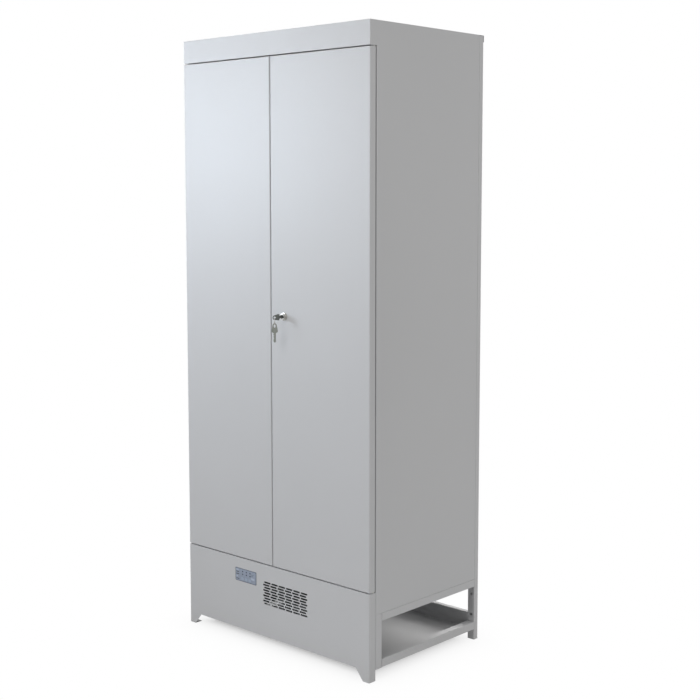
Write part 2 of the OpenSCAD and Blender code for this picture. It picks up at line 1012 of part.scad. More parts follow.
// Wire hook that runs forward from the strip and turns up to a ball
module coat_hook() {
    y_bend = back_y - strip_t - hook_out;
    rod_y(hook_wire, y_bend, back_y - strip_t - 1, $fn = 20);
    rod_y(hook_wire * 2.4, back_y - strip_t - 3, back_y - strip_t, $fn = 24);
    translate([0, y_bend, hook_bend])
        rotate([0, 90, 0])
            rotate_extrude(angle = -90, $fn = 32)
                translate([hook_bend, 0]) circle(hook_wire, $fn = 20);
    translate([0, y_bend - hook_bend, 0]) {
        rod_z(hook_wire, hook_bend, hook_bend + 14, $fn = 20);
        translate([0, 0, hook_bend + 16]) sphere(hook_wire * 1.9, $fn = 24);
    }
}

module coat_hooks() {
    chrome()
        for (i = [0 : hook_count - 1])
            translate([(i / (hook_count - 1) - 0.5) * 2 * (strip_half - 30), 0, strip_z])
                coat_hook();
}

module boot_rack() {
    reach = inner_w - 12;
    bare_zinc() {
        for (y = [shelf_y0 + 30, shelf_y1 - 30 - bar_w])
            block([-shelf_half, y, rack_z], [shelf_half, y + bar_w, rack_z + bar_t]);
        for (i = [0 : rack_rods - 1])
            translate([(i / (rack_rods - 1) - 0.5) * 2 * (reach - 24), 0, rack_z + bar_t + rod_r - 0.3])
                rod_y(rod_r, shelf_y0 + 5, shelf_y1 - 5, $fn = 20);
    }
}

module exhaust_collar() {
    bare_zinc()
        translate([0, exhaust_y, 0])
            difference() {
                union() {
                    rod_z(collar_flange_r, cab_h, cab_h + collar_t, $fn = 64);
                    rod_z(collar_r, cab_h, cab_h + collar_h, $fn = 64);
                }
                rod_z(collar_r - collar_t, cab_h - 1, cab_h + collar_h + 1, $fn = 64);
            }
}

// ---- Hinges and stops

module hinge_pins() {
    chrome()
        both_hands()
            translate([hinge_x, hinge_y, 0]) {
                rod_z(pin_r, door_z1 - pin_reach, fascia_z + sheet_t + 1);
                rod_z(pin_head_r, fascia_z + sheet_t, fascia_z + sheet_t + pin_head_t);
                rod_z(pin_r, plinth_top - sheet_t - 1, door_z0 + pin_reach);
                rod_z(pin_head_r, plinth_top - sheet_t - pin_head_t, plinth_top - sheet_t);
            }
}

module door_bushes() {
    pale_plastic()
        translate([hinge_x, hinge_y, 0])
            difference() {
                union() {
                    rod_z(bush_r, door_z1 - bush_l, door_z1);
                    rod_z(bush_flange_r, door_z1, fascia_z - rest_gap);
                    rod_z(bush_r, door_z0, door_z0 + bush_l);
                    rod_z(bush_flange_r, plinth_top + rest_gap, door_z0);
                }
                rod_z(pin_r + run_gap, plinth_top, fascia_z);
            }
}

module door_stops() {
    dark_plastic()
        both_hands()
            for (z = [door_z0 + 60, door_z1 - 60])
                translate([half_w - jamb_w / 2, 0, z])
                    rod_y(5, liner_y1 + 0.3, carcass_y, $fn = 24);
}

// ---- Doors

// Pan of folded sheet: plain face, rounded folds, and a lip round its open back
module door_pan(x0, x1) {
    r = outer_r;
    difference() {
        intersection() {
            along_z(door_z0, door_z1)
                polygon(round_rect([x0, front_y], [x1, door_back_y], r));
            along_x(x0, x1)
                polygon(round_rect([front_y, door_z0], [door_back_y, door_z1], r));
        }
        block([x0 + sheet_t, front_y + sheet_t, door_z0 + sheet_t],
              [x1 - sheet_t, door_back_y - sheet_t, door_z1 - sheet_t]);
        block([x0 + door_lip, front_y + door_t / 2, door_z0 + door_lip],
              [x1 - door_lip, door_back_y + 1, door_z1 - door_lip]);
    }
}

module hinge_holes() {
    translate([hinge_x, hinge_y, 0]) {
        rod_z(bush_r + run_gap, door_z1 - sheet_t - 1, door_z1 + 1);
        rod_z(bush_r + run_gap, door_z0 - 1, door_z0 + sheet_t + 1);
    }
}

// Inner skin of a door with a raised middle field
module door_skin(x0, x1) {
    margin = 34;
    along_y(door_back_y, liner_y1)
        polygon(round_rect([x0 + liner_in, door_z0 + liner_in], [x1 - liner_in, door_z1 - liner_in], 4));
    along_y(liner_y1 - bite, field_y1)
        polygon(round_rect([x0 + 2 * margin, door_z0 + 5 * margin],
                           [x1 - 2 * margin, door_z1 - 5 * margin], 12));
}

module left_door() {
    paint()
        difference() {
            door_pan(-half_w, left_free_x);
            left_hand() hinge_holes();
        }
}

module left_door_liner() {
    paint() door_skin(-half_w, left_free_x);
}

module right_door() {
    paint()
        difference() {
            door_pan(right_free_x, half_w);
            hinge_holes();
            translate([lock_x, 0, lock_z]) rod_y(barrel_r + bite, front_y - 1, front_y + 3);
        }
}

module right_door_liner() {
    paint()
        difference() {
            door_skin(right_free_x, half_w);
            translate([lock_x, 0, lock_z]) rod_y(barrel_r + 0.6, door_back_y - 1, field_y1 + 1);
        }
}

// ---- Bolts on the left door's back

module bolt_guide() {
    y = bolt_y - liner_y1;
    translate([bolt_x, bolt_y])
        difference() {
            union() {
                circle(bolt_r + 3);
                translate([-bolt_r - 3, -y]) square([2 * bolt_r + 6, y]);
                translate([-bolt_r - 10, -y]) square([2 * bolt_r + 20, 2]);
            }
            circle(bolt_r + run_gap);
            translate([-bolt_r - 11, -y - bolt_r]) square([2 * bolt_r + 22, bolt_r]);
        }
}

module bolt_guides() {
    bare_zinc() {
        for (z = [door_z1 - 16 - guide_h, door_z1 - 106 - guide_h])
            along_z(z, z + guide_h) bolt_guide();
        for (z = [door_z0 + 16, door_z0 + 106])
            along_z(z, z + guide_h) bolt_guide();
    }
}

// Bolt rod with a finger knob; z is its tip and up is 1 when the tip points up
module door_bolt(z, up) {
    far = z - up * bolt_l;
    knob_z = z - up * knob_drop;
    chrome()
        translate([bolt_x, bolt_y, 0]) {
            rod_z(bolt_r, min(z, far), max(z, far), $fn = 32);
            translate([0, 0, knob_z]) {
                rod_y(3, 0, 14, $fn = 24);
                rod_y(6, 12, 18, $fn = 32);
            }
        }
}

// ---- Lock, cam, keys and ring

module lock_body() {
    chrome()
        translate([lock_x, 0, lock_z]) {
            difference() {
                union() {
                    rod_y(bezel_r, front_y - 2.5, front_y);
                    rod_y(bezel_r - 1.2, front_y - 4, front_y - 2);
                    rod_y(barrel_r, front_y - lock_head, cam_y - 0.3);
                    along_y(front_y + sheet_t + bite, front_y + 6) circle(14, $fn = 6);
                }
                rod_y(core_r + run_gap, front_y - lock_head - 1, cam_y + 1);
            }
        }
}

module lock_core() {
    chrome()
        translate([lock_x, 0, lock_z]) {
            difference() {
                rod_y(core_r, front_y - lock_head + 0.4, cam_y - 0.3);
                block([-keyway[0] / 2, front_y - lock_head - 1, -keyway[2] / 2],
                      [keyway[0] / 2, front_y - lock_head + keyway[1], keyway[2] / 2]);
            }
            block([-tang / 2, cam_y - 0.4, -tang / 2], [tang / 2, cam_y + cam_t, tang / 2]);
            rod_y(4.5, cam_y + cam_t, cam_y + cam_t + 2.5, $fn = 6);
        }
}

// Flat cam that points down at rest and left when locked
module lock_cam() {
    hole = tang + 0.2;
    bare_zinc()
        translate([lock_x, 0, lock_z])
            along_y(cam_y, cam_y + cam_t)
                difference() {
                    union() {
                        circle(9);
                        translate([-cam_w / 2, -cam_reach + cam_w / 2])
                            square([cam_w, cam_reach - cam_w / 2]);
                        translate([0, -cam_reach + cam_w / 2]) circle(cam_w / 2);
                    }
                    square([hole, hole], center = true);
                }
}

// Flat key, bow first, its length along the first axis
module key_shape() {
    blade = 7.4;
    cuts = [31, 36, 41, 46];
    difference() {
        union() {
            translate([6.5, 0]) circle(6.5);
            polygon([
                [6.5, -6.5], [bow_l - 4, -9.5], [bow_l, -9.5], [bow_l + 3, -blade / 2],
                [bow_l + 3, blade / 2], [bow_l, 9.5], [bow_l - 4, 9.5], [6.5, 6.5]
            ]);
            polygon([
                [bow_l, -blade / 2], [key_len - 4, -blade / 2], [key_len, 0],
                [key_len - 2, blade / 2], [bow_l, blade / 2]
            ]);
        }
        translate([(key_slot[0] + key_slot[1]) / 2, 0])
            slot_shape(key_slot[1] - key_slot[0], key_slot[2]);
        for (c = cuts)
            polygon([[c - 1.8, -blade], [c - 0.5, -blade / 4], [c + 0.5, -blade / 4], [c + 1.8, -blade]]);
    }
}

module door_key() {
    chrome()
        along_x(lock_x - key_t / 2, lock_x + key_t / 2)
            translate([key_y, lock_z]) key_shape();
}

module key_ring() {
    chrome()
        translate([lock_x, eye_y, ring_z])
            rotate([0, 0, ring_turn])
                rotate([90, 0, 0])
                    rotate_extrude($fn = 48)
                        translate([ring_r, 0]) circle(ring_wire, $fn = 16);
}

module spare_key() {
    chrome()
        translate([lock_x, eye_y, link_z + ring_wire + hang_gap + key_slot[0]])
            rotate([0, 0, ring_turn + 90])
                along_y(-key_t / 2, key_t / 2)
                    rotate(-90) key_shape();
}

left_hand() side_panel();  // left_side_panel
side_panel();  // right_side_panel
roof_panel();
header_panel();
back_panel();
plinth_panel();
left_hand() front_leg();  // left_front_leg
front_leg();  // right_front_leg
left_hand() rear_post();  // left_rear_post
rear_post();  // right_rear_post
left_hand() side_rail(window_top);  // left_upper_rail
side_rail(window_top);  // right_upper_rail
left_hand() side_rail(rail_z);  // left_lower_rail
side_rail(rail_z);  // right_lower_rail
rear_lower_rail();
bottom_pan();
chamber_floor();
warm_air_diffuser();
heater_housing();
heating_element();
thermal_cutout();
fan_bracket();
intake_duct();
fan_frame();
fan_motor();
fan_impeller();
control_box();
control_board();
control_panel();
status_lamps();
panel_key(-1);  // left_key
panel_key(0);  // middle_key
panel_key(1);  // right_key
cable_gland();
hat_shelf();
both_hands() side_bracket(shelf_z - sheet_t);  // shelf_brackets
hanging_rail();
rail_sockets();
hook_strip();
coat_hooks();
boot_rack();
both_hands() side_bracket(rack_z);  // rack_brackets
exhaust_collar();
hinge_pins();
door_stops();
left_door();
left_door_liner();
left_hand() door_bushes();  // left_door_bushes
bolt_guides();
door_bolt(door_z1 - bolt_rest, 1);  // upper_bolt
door_bolt(door_z0 + bolt_rest, -1);  // lower_bolt
right_door();
right_door_liner();
door_bushes();  // right_door_bushes
lock_body();
lock_core();
lock_cam();
door_key();
key_ring();
spare_key();
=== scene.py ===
# A two-door drying cabinet of folded sheet steel, powder coated in light grey, on a white floor.
# The scene is in metres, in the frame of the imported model: X to the right, Y to the rear, Z up.
import json
import math

import bmesh
import bpy
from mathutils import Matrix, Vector


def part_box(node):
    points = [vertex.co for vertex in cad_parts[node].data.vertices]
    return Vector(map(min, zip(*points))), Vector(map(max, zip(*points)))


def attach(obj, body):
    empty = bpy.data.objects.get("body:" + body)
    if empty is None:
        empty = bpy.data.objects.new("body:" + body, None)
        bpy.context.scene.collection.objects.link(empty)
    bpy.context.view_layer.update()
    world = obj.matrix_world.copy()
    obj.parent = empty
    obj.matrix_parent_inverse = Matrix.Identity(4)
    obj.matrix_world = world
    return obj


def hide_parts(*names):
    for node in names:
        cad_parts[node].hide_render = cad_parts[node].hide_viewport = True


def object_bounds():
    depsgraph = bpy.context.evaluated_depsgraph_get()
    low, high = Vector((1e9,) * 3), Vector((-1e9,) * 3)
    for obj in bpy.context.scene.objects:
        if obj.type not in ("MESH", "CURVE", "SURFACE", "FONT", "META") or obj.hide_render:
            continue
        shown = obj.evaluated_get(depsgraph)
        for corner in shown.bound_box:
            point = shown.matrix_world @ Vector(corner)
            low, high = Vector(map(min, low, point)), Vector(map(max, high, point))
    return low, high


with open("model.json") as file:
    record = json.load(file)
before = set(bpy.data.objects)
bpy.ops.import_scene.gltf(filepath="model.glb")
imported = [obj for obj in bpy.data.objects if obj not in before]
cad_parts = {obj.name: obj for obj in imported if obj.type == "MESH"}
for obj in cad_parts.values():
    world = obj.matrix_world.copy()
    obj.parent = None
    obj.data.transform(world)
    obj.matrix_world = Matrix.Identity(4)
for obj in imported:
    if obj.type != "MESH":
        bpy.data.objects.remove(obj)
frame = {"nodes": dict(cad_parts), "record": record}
cad_low, cad_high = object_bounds()
NODES = frame["nodes"]
RECORD = frame["record"]
BODY_OF = {
    node: body
    for body, members in RECORD["behaviour"]["bodies"].items()
    for node in members
}
SLOT_OF = {row["node"]: row["material_slot"] for row in RECORD["subparts"]}
MM = 0.001


# ---- Camera and light

# Turn and tilt are in radians, the lens and the sensor in millimetres
CAMERA_AT = (2.7900, -2.8980, 1.4210)
CAMERA_TURN = 0.7473
CAMERA_TILT = -0.0985
CAMERA_LENS = 65.4
CAMERA_SENSOR = 36
CAMERA_SHIFT = -0.045
VIEW_DISTANCE = 200

# Name, place, point it faces, width and height, watts, colour, and spread in degrees
LAMPS = (
    ("window_light", (-2.04, -1.98, 1.75), (-0.15, -0.24, 1.40), (0.9, 0.9), 4.3, (0.79, 0.885, 1.0), 66),
    ("ceiling_light", (0.3, -4.2, 4.4), (0, 0, 1.2), (3.0, 2.0), 96, (1.0, 0.99, 0.985), 180),
    ("side_light", (3.7, 1.4, 2.1), (0.3, 0.1, 0.3), (1.2, 1.0), 24, (1.0, 0.99, 0.97), 180),
    ("rear_light", (-1.3, 3.5, 1.4), (0, 0, 0.3), (2.4, 1.4), 32, (1.0, 0.99, 0.98), 180),
)


def add_camera():
    data = bpy.data.cameras.new("studio_camera")
    data.lens = CAMERA_LENS
    data.sensor_width = CAMERA_SENSOR
    data.shift_y = CAMERA_SHIFT
    data.clip_end = VIEW_DISTANCE
    camera = bpy.data.objects.new("studio_camera", data)
    camera.location = CAMERA_AT
    camera.rotation_euler = (math.pi / 2 + CAMERA_TILT, 0, CAMERA_TURN)
    bpy.context.scene.collection.objects.link(camera)
    bpy.context.scene.camera = camera


def add_softbox(name, at, towards, size, power, colour, spread):
    data = bpy.data.lights.new(name, "AREA")
    data.shape = "RECTANGLE"
    data.size, data.size_y = size
    data.energy = power
    data.color = colour
    data.spread = math.radians(spread)
    lamp = bpy.data.objects.new(name, data)
    lamp.location = at
    lamp.rotation_euler = (Vector(towards) - Vector(at)).to_track_quat("-Z", "Y").to_euler()
    bpy.context.scene.collection.objects.link(lamp)


# ---- Node trees for materials

class Finish:
    """One material's node tree round a Principled shader, with patterns on object coordinates."""

    def __init__(self, name):
        self.material = bpy.data.materials.new(name)
        self.material.use_nodes = True
        self.tree = self.material.node_tree
        self.shader = self.tree.nodes["Principled BSDF"]
        self.place = self.add("ShaderNodeTexCoord").outputs["Object"]

    def add(self, kind, **settings):
        node = self.tree.nodes.new(kind)
        for key, value in settings.items():
            setattr(node, key, value)
        return node

    def link(self, out, into):
        self.tree.links.new(out, into)

    def set(self, **values):
        for key, value in values.items():
            self.shader.inputs[key.replace("_", " ")].default_value = value
        return self

    def moved(self, stretch):
        mapping = self.add("ShaderNodeMapping")
        mapping.inputs["Scale"].default_value = stretch
        self.link(self.place, mapping.inputs["Vector"])
        return mapping.outputs["Vector"]

    def noise(self, scale, detail, stretch=None):
        node = self.add("ShaderNodeTexNoise")
        node.inputs["Scale"].default_value = scale
        node.inputs["Detail"].default_value = detail
        self.link(self.moved(stretch) if stretch else self.place, node.inputs["Vector"])
        return node.outputs["Fac"]

    def spangle(self, scale):
        node = self.add("ShaderNodeTexVoronoi")
        node.inputs["Scale"].default_value = scale
        self.link(self.place, node.inputs["Vector"])
        return node.outputs["Color"]

    def height(self, low, high):
        """0 below low, 1 above high, by the height above the floor."""
        parts = self.add("ShaderNodeSeparateXYZ")
        self.link(self.place, parts.inputs["Vector"])
        rise = self.add("ShaderNodeMapRange")
        rise.inputs["From Min"].default_value = low
        rise.inputs["From Max"].default_value = high
        self.link(parts.outputs["Z"], rise.inputs["Value"])
        return rise.outputs["Result"]

    def ramp(self, source, low, high, start=0.3, end=0.7):
        node = self.add("ShaderNodeValToRGB")
        node.color_ramp.elements[0].position = start
        node.color_ramp.elements[1].position = end
        node.color_ramp.elements[0].color = (*low, 1)
        node.color_ramp.elements[1].color = (*high, 1)
        self.link(source, node.inputs["Fac"])
        return node.outputs["Color"]

    def spread(self, source, low, high):
        node = self.add("ShaderNodeMapRange")
        node.inputs["To Min"].default_value = low
        node.inputs["To Max"].default_value = high
        self.link(source, node.inputs["Value"])
        return node.outputs["Result"]

    def times(self, one, two):
        node = self.add("ShaderNodeMix", data_type="RGBA", blend_type="MULTIPLY")
        node.inputs["Factor"].default_value = 1.0
        self.link(one, node.inputs["A"])
        self.link(two, node.inputs["B"])
        return node.outputs["Result"]

    def colour(self, out):
        self.link(out, self.shader.inputs["Base Color"])

    def roughness(self, out):
        self.link(out, self.shader.inputs["Roughness"])

    def bump(self, height, strength, distance):
        node = self.add("ShaderNodeBump")
        node.inputs["Strength"].default_value = strength
        node.inputs["Distance"].default_value = distance
        socket = self.shader.inputs["Normal"]
        if socket.is_linked:
            self.link(socket.links[0].from_socket, node.inputs["Normal"])
        self.link(height, node.inputs["Height"])
        self.link(node.outputs["Normal"], socket)


def shade(colour, factor):
    return tuple(min(1.0, c * factor) for c in colour)


SPANGLE_SCALE = 85
DUST_HEIGHT = 0.09
DUST_TINT = (0.955, 0.95, 0.94)


def powder_coat(name, colour):
    """Satin polyester powder: faint orange peel, flow marks, and a little floor dust low down."""
    finish = Finish(name).set(IOR=1.5)
    drift = finish.ramp(finish.noise(1.7, 3), shade(colour, 0.985), shade(colour, 1.015))
    dust = finish.ramp(finish.height(0.0, DUST_HEIGHT), DUST_TINT, (1, 1, 1), 0, 1)
    finish.colour(finish.times(drift, dust))
    finish.roughness(finish.spread(finish.noise(26, 3), 0.35, 0.45))
    finish.bump(finish.noise(520, 1.5), 0.10, 0.0004)
    finish.bump(finish.noise(2.3, 1), 0.10, 0.0020)
    return finish.material


def galvanised_sheet(name, colour):
    finish = Finish(name).set(Metallic=0.85)
    zinc = finish.spangle(SPANGLE_SCALE)
    finish.colour(finish.ramp(zinc, shade(colour, 0.80), shade(colour, 1.12), 0.1, 0.9))
    finish.roughness(finish.spread(finish.noise(60, 4), 0.34, 0.52))
    finish.bump(finish.spangle(SPANGLE_SCALE), 0.05, 0.0003)
    return finish.material


def plated_metal(name, colour, low, high, brush=(1, 6, 1)):
    finish = Finish(name).set(Metallic=1.0)
    finish.colour(finish.ramp(finish.noise(90, 3), shade(colour, 0.90), colour))
    finish.roughness(finish.spread(finish.noise(240, 4), low, high))
    finish.bump(finish.noise(700, 3, stretch=brush), 0.05, 0.0002)
    return finish.material


def moulded(name, colour, rough, grain, bump=0.15):
    finish = Finish(name).set(IOR=1.48)
    finish.colour(finish.ramp(finish.noise(14, 3), shade(colour, 0.92), shade(colour, 1.08)))
    finish.roughness(finish.spread(finish.noise(160, 3), rough - 0.05, rough + 0.05))
    finish.bump(finish.noise(grain, 2), bump, 0.0003)
    return finish.material


def heated_steel(name, colour, scorch):
    finish = Finish(name).set(Metallic=0.8)
    finish.colour(finish.ramp(finish.noise(38, 4), shade(colour, 0.65), scorch))
    finish.roughness(finish.spread(finish.noise(150, 4), 0.42, 0.62))
    finish.bump(finish.noise(420, 3), 0.12, 0.0003)
    return finish.material


PAINT = (0.655, 0.660, 0.672)
FINISHES = {
    "casing_paint": powder_coat("light_grey_powder_coat", PAINT),
    "galvanised": galvanised_sheet("galvanised_sheet", (0.55, 0.57, 0.58)),
    "chromed": plated_metal("chrome_plate", (0.72, 0.72, 0.74), 0.14, 0.26),
    "heater_steel": heated_steel("heated_steel", (0.30, 0.28, 0.27), (0.36, 0.29, 0.22)),
    "dark_plastic": moulded("dark_moulding", (0.030, 0.030, 0.034), 0.50, 900),
    "bush_plastic": moulded("bush_moulding", (0.72, 0.72, 0.69), 0.45, 900),
    "stop_rubber": moulded("stop_rubber", (0.040, 0.040, 0.040), 0.75, 600),
    "panel_film": moulded("panel_film", (0.322, 0.372, 0.470), 0.38, 1500, 0.10),
    "key_film": moulded("key_film", (0.400, 0.470, 0.585), 0.42, 1500, 0.10),
    "lamp_lens": moulded("lamp_lens", (0.045, 0.055, 0.100), 0.22, 300, 0.05),
    "circuit_board": moulded("circuit_board", (0.020, 0.140, 0.060), 0.35, 300),
}
NICKEL = plated_metal("nickel_plate", (0.50, 0.49, 0.46), 0.20, 0.34)
KEY_STEEL = plated_metal("key_steel", (0.23, 0.24, 0.22), 0.26, 0.42, brush=(6, 1, 6))
DARK_NICKEL = plated_metal("dark_nickel", (0.10, 0.10, 0.10), 0.30, 0.44)
RIVET_METAL = plated_metal("rivet_aluminium", (0.60, 0.61, 0.62), 0.30, 0.45)
SEAL_RUBBER = moulded("seal_rubber", (0.170, 0.172, 0.178), 0.62, 500)
PRINT_INK = moulded("print_ink", (0.060, 0.068, 0.090), 0.48, 1200, 0.05)
PALE_INK = moulded("pale_ink", (0.50, 0.56, 0.66), 0.48, 1200, 0.05)


# ---- Studio

def mix_node(tree, kind, one, two):
    node = tree.nodes.new("ShaderNodeMath")
    node.operation = kind
    for socket, value in zip(node.inputs, (one, two)):
        if isinstance(value, (int, float)):
            socket.default_value = value
        elif value is not None:
            tree.links.new(value, socket)
    return node.outputs["Value"]


# The shadow's sizes are in metres; its depth is the share of the floor's white that it can take
WORLD_STRENGTH = 0.25
WORLD_COLOUR = (1.0, 0.995, 0.985)
WHITE = (1, 1, 1, 1)
FLOOR_HALF = 30
FLOOR_BOUNCE = (0.80, 0.80, 0.80, 1)
SHADOW_INSET = 0.068
SHADOW_SOFTNESS = 0.040
SHADOW_DEPTH = 0.62


def looking(tree):
    """1 for camera, mirror and glass rays, which see the white background."""
    path = tree.nodes.new("ShaderNodeLightPath").outputs
    seen = mix_node(tree, "MAXIMUM", path["Is Camera Ray"], path["Is Glossy Ray"])
    return mix_node(tree, "MAXIMUM", seen, path["Is Transmission Ray"])


def distance_outside_cabinet(tree):
    """Distance of a floor point from a rectangle that lies inside the cabinet's outline."""
    parts = tree.nodes.new("ShaderNodeSeparateXYZ")
    tree.links.new(tree.nodes.new("ShaderNodeTexCoord").outputs["Object"], parts.inputs["Vector"])
    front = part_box("plinth_panel")[0].y + SHADOW_INSET
    sideways = mix_node(tree, "ABSOLUTE", parts.outputs["X"], None)
    beside = mix_node(tree, "SUBTRACT", sideways, cad_high.x - SHADOW_INSET)
    behind = mix_node(tree, "SUBTRACT", parts.outputs["Y"], cad_high.y - SHADOW_INSET)
    before = mix_node(tree, "SUBTRACT", front, parts.outputs["Y"])
    sides = (beside, mix_node(tree, "MAXIMUM", behind, before))
    sides = [mix_node(tree, "MAXIMUM", side, 0) for side in sides]
    squares = [mix_node(tree, "MULTIPLY", side, side) for side in sides]
    return mix_node(tree, "POWER", mix_node(tree, "ADD", *squares), 0.5)


def studio_floor():
    """A floor that the camera sees as white, with the cabinet's soft shadow round its foot.

    The shadow is strongest under the cabinet and dies away from a line inset from its sides.
    """
    half = FLOOR_HALF
    mesh = bpy.data.meshes.new("studio_floor")
    corners = [(-half, -half, 0), (half, -half, 0), (half, half, 0), (-half, half, 0)]
    mesh.from_pydata(corners, [], [(0, 1, 2, 3)])
    floor = bpy.data.objects.new("studio_floor", mesh)
    bpy.context.scene.collection.objects.link(floor)
    material = bpy.data.materials.new("studio_floor")
    material.use_nodes = True
    tree = material.node_tree
    tree.nodes.clear()
    link = tree.links.new
    out = tree.nodes.new("ShaderNodeOutputMaterial")
    plain = tree.nodes.new("ShaderNodeBsdfDiffuse")
    plain.inputs["Color"].default_value = FLOOR_BOUNCE
    shaded = tree.nodes.new("ShaderNodeBsdfDiffuse")
    shaded.inputs["Color"].default_value = WHITE
    white = tree.nodes.new("ShaderNodeEmission")
    away = distance_outside_cabinet(tree)
    fading = mix_node(tree, "EXPONENT", mix_node(tree, "DIVIDE", away, -SHADOW_SOFTNESS), None)
    seen = tree.nodes.new("ShaderNodeMixShader")
    link(mix_node(tree, "MULTIPLY", fading, SHADOW_DEPTH), seen.inputs["Fac"])
    link(white.outputs["Emission"], seen.inputs[1])
    link(shaded.outputs["BSDF"], seen.inputs[2])
    final = tree.nodes.new("ShaderNodeMixShader")
    link(looking(tree), final.inputs["Fac"])
    link(plain.outputs["BSDF"], final.inputs[1])
    link(seen.outputs["Shader"], final.inputs[2])
    link(final.outputs["Shader"], out.inputs["Surface"])
    mesh.materials.append(material)


def studio_world(strength, colour):
    world = bpy.data.worlds.new("studio_world")
    bpy.context.scene.world = world
    world.use_nodes = True
    tree = world.node_tree
    tree.nodes.clear()
    link = tree.links.new
    out = tree.nodes.new("ShaderNodeOutputWorld")
    lighting = tree.nodes.new("ShaderNodeBackground")
    lighting.inputs["Color"].default_value = (*colour, 1)
    lighting.inputs["Strength"].default_value = strength
    white = tree.nodes.new("ShaderNodeBackground")
    white.inputs["Color"].default_value = WHITE
    final = tree.nodes.new("ShaderNodeMixShader")
    link(looking(tree), final.inputs["Fac"])
    link(lighting.outputs["Background"], final.inputs[1])
    link(white.outputs["Background"], final.inputs[2])
    link(final.outputs["Shader"], out.inputs["Surface"])


# ---- Pieces

# Distances at which points count as one, or as lying on an edge of a node's box, and angles
# between faces above which an edge is rounded
WELD = 0.01 * MM
FINE_WELD = 0.002 * MM
ON_EDGE = 0.02 * MM
FLAT_ANGLE = math.radians(0.6)
HARD_ANGLE = math.radians(28)
SMOOTH_ANGLE = math.radians(32)
BEND_ANGLE = math.radians(68.75)
EDGE_STEPS = 2
BEND_STEPS = 3


def place_piece(name, mesh, material, body, stands_for=()):
    """Links a finished mesh as a piece of the object."""
    mesh.materials.clear()
    mesh.materials.append(material)
    piece = bpy.data.objects.new(name, mesh)
    bpy.context.scene.collection.objects.link(piece)
    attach(piece, body)
    if stands_for:
        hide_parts(*stands_for)


def welded_copy(node):
    """A mesh for editing, of a CAD node with its doubled points joined and its flat faces merged."""
    work = bmesh.new()
    work.from_mesh(NODES[node].data)
    bmesh.ops.remove_doubles(work, verts=work.verts, dist=WELD)
    bmesh.ops.dissolve_limit(work, angle_limit=FLAT_ANGLE, verts=work.verts, edges=work.edges)
    return work


def meets_at(edge):
    """The angle between an edge's two faces, or 0 where it hasn't two."""
    return edge.calc_face_angle(0) if len(edge.link_faces) == 2 else 0


def rounded_edges(work, edges, width, segments):
    return bmesh.ops.bevel(work, geom=edges, offset=width * MM, offset_type="OFFSET", segments=segments,
                           profile=0.5, affect="EDGES", clamp_overlap=True)


def softened(node, width, material):
    """A copy of a CAD node with its hard edges rounded, which stands for the node."""
    work = welded_copy(node)
    hard = [edge for edge in work.edges if meets_at(edge) > HARD_ANGLE]
    rounded_edges(work, hard, width, EDGE_STEPS)
    bmesh.ops.remove_doubles(work, verts=work.verts, dist=FINE_WELD)
    for face in work.faces:
        face.smooth = True
    for edge in work.edges:
        edge.smooth = len(edge.link_faces) == 2 and edge.calc_face_angle(0) < SMOOTH_ANGLE
    mesh = bpy.data.meshes.new(node + "_rounded")
    work.to_mesh(mesh)
    work.free()
    slot = SLOT_OF[node]
    place_piece(node + "_rounded", mesh, material or FINISHES[slot], BODY_OF[node], (node,))


def on_box_edge(edge, low, high):
    """Whether an edge runs along one of the twelve edges of its node's box."""
    held = 0
    for axis in range(3):
        spots = [vert.co[axis] for vert in edge.verts]
        held += any(max(abs(spot - side[axis]) for spot in spots) < ON_EDGE for side in (low, high))
    return held >= 2


def folded(node, radius):
    """A copy of a sheet-metal node with its outer bends rounded, which stands for the node."""
    low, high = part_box(node)
    work = welded_copy(node)
    bends = [edge for edge in work.edges if meets_at(edge) > BEND_ANGLE and on_box_edge(edge, low, high)]
    made = rounded_edges(work, bends, radius, BEND_STEPS)
    for face in made["faces"]:
        face.smooth = True
    mesh = bpy.data.meshes.new(node + "_folded")
    work.to_mesh(mesh)
    work.free()
    slot = SLOT_OF[node]
    place_piece(node + "_folded", mesh, FINISHES[slot], BODY_OF[node], (node,))


def turned(name, profile, steps=20):
    """Closed solid of revolution round Z from (radius, height) points, as a helper object."""
    work = bmesh.new()
    rings = []
    for radius, height in profile:
        if radius == 0:
            rings.append([work.verts.new((0, 0, height * MM))])
            continue
        turn = [2 * math.pi * k / steps for k in range(steps)]
        wide, up = radius * MM, height * MM
        rings.append([work.verts.new((wide * math.cos(a), wide * math.sin(a), up)) for a in turn])
    for low, high in zip(rings, rings[1:]):
        for k in range(steps):
            pick = [ring[(k + j) % len(ring)] for ring, j in ((low, 0), (low, 1), (high, 1), (high, 0))]
            work.faces.new(list(dict.fromkeys(pick)))
    bmesh.ops.recalc_face_normals(work, faces=work.faces)
    for face in work.faces:
        face.smooth = True
    mesh = bpy.data.meshes.new(name)
    work.to_mesh(mesh)
    work.free()
    return bpy.data.objects.new(name, mesh)


def new_tree(name, sockets):
    """Geometry Nodes tree with named inputs and one geometry output."""
    tree = bpy.data.node_groups.new(name, "GeometryNodeTree")
    tree.interface.new_socket("Geometry", in_out="OUTPUT", socket_type="NodeSocketGeometry")
    for label, kind in sockets:
        tree.interface.new_socket(label, in_out="INPUT", socket_type=kind)
    source = tree.nodes.new("NodeGroupInput")
    sink = tree.nodes.new("NodeGroupOutput")
    return tree, source.outputs, sink.inputs[0]


def set_inputs(modifier, values):
    for item in modifier.node_group.interface.items_tree:
        if item.item_type == "SOCKET" and item.in_out == "INPUT" and item.name in values:
            modifier[item.identifier] = values[item.name]


